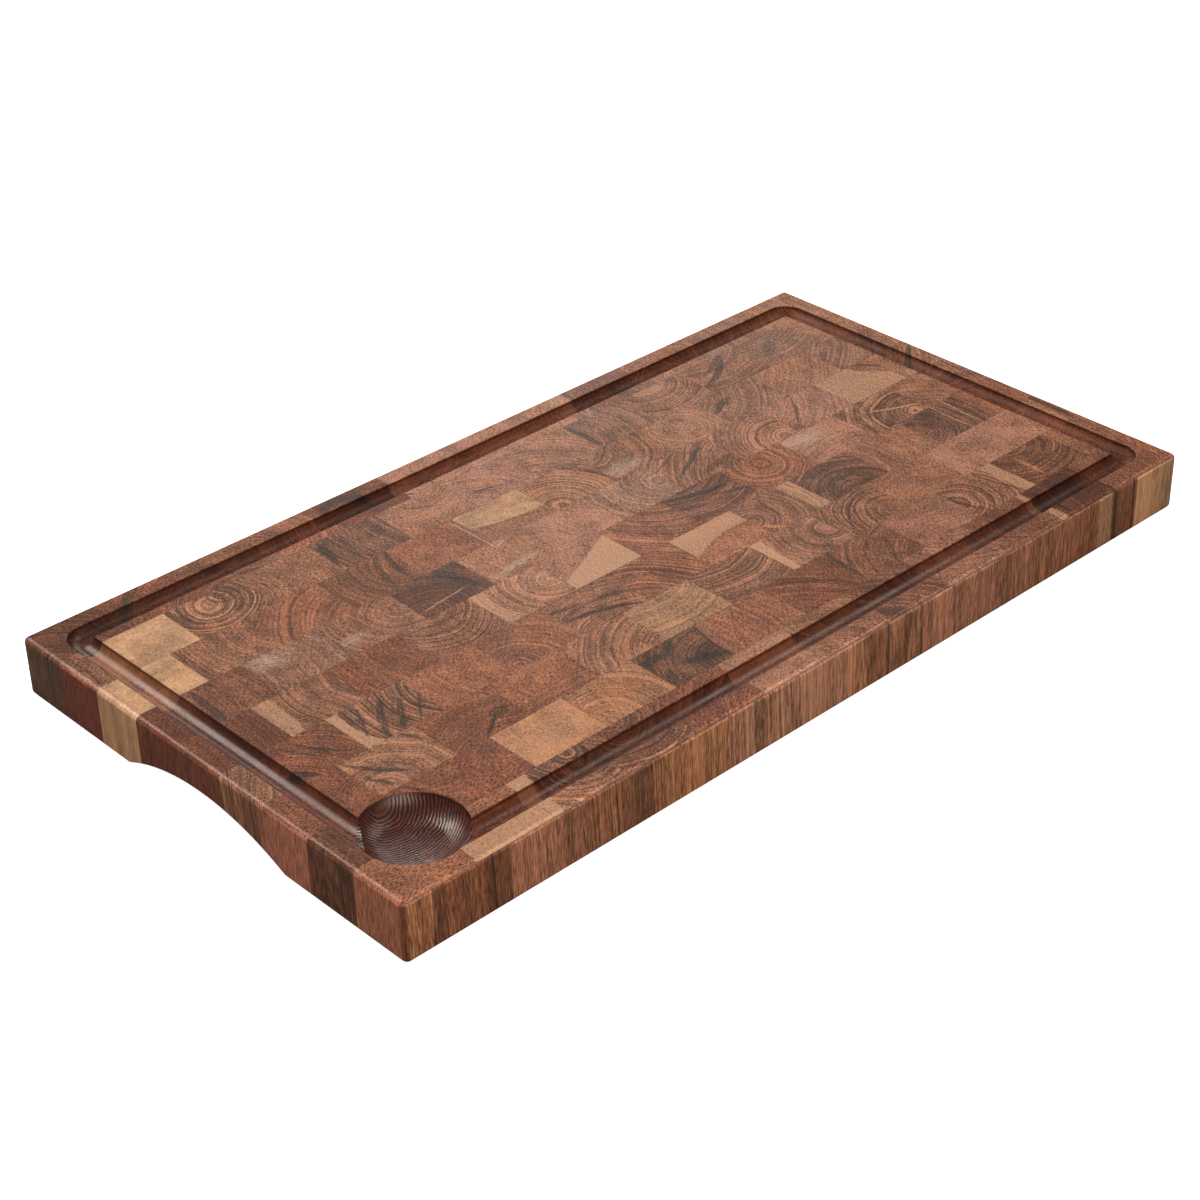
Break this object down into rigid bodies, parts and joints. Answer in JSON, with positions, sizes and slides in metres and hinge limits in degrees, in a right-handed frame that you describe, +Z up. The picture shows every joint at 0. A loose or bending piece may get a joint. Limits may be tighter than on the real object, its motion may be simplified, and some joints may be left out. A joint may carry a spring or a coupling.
{
  "type": "end-grain cutting board",
  "caption": "Thick end-grain wooden cutting board in a brick bond, with a juice groove, a round juice well in one corner and a finger grip under each short end.",
  "frame": {"origin": "centre of the underside", "axes": "+X along the board's length, away from the end with the juice well; +Z up, out of the cutting surface; the long side with the juice well is at -Y"},
  "size_m": [0.52, 0.277, 0.032],
  "materials": {
    "sapwood": "pale straw to tan sapwood, end grain up, oiled satin",
    "heartwood": "reddish brown heartwood with growth rings, end grain up, oiled satin",
    "dark_heartwood": "brown heartwood with blackish streaks and growth rings, end grain up, oiled satin",
    "glue": "cured dark waterproof wood glue, seen only as hairlines between the blocks"
  },
  "bodies": {
    "root": {"cross_glue_lines": "glue", "edge_strip_dark_heartwood_blocks": "dark_heartwood", "edge_strip_heartwood_blocks": "heartwood", "edge_strip_sapwood_blocks": "sapwood", "long_glue_lines": "glue", "row_1_dark_heartwood_blocks": "dark_heartwood", "row_1_heartwood_blocks": "heartwood", "row_2_dark_heartwood_blocks": "dark_heartwood", "row_2_heartwood_blocks": "heartwood", "row_2_sapwood_blocks": "sapwood", "row_3_dark_heartwood_blocks": "dark_heartwood", "row_3_heartwood_blocks": "heartwood", "row_3_sapwood_blocks": "sapwood", "row_4_dark_heartwood_blocks": "dark_heartwood", "row_4_heartwood_blocks": "heartwood", "row_5_dark_heartwood_blocks": "dark_heartwood", "row_5_heartwood_blocks": "heartwood", "row_5_sapwood_blocks": "sapwood", "row_6_dark_heartwood_blocks": "dark_heartwood", "row_6_heartwood_blocks": "heartwood", "row_6_sapwood_blocks": "sapwood", "row_7_dark_heartwood_blocks": "dark_heartwood", "row_7_heartwood_blocks": "heartwood", "row_8_dark_heartwood_blocks": "dark_heartwood", "row_8_heartwood_blocks": "heartwood", "row_8_sapwood_blocks": "sapwood", "row_9_dark_heartwood_blocks": "dark_heartwood", "row_9_heartwood_blocks": "heartwood", "row_9_sapwood_blocks": "sapwood"}
  },
  "joints": []
}
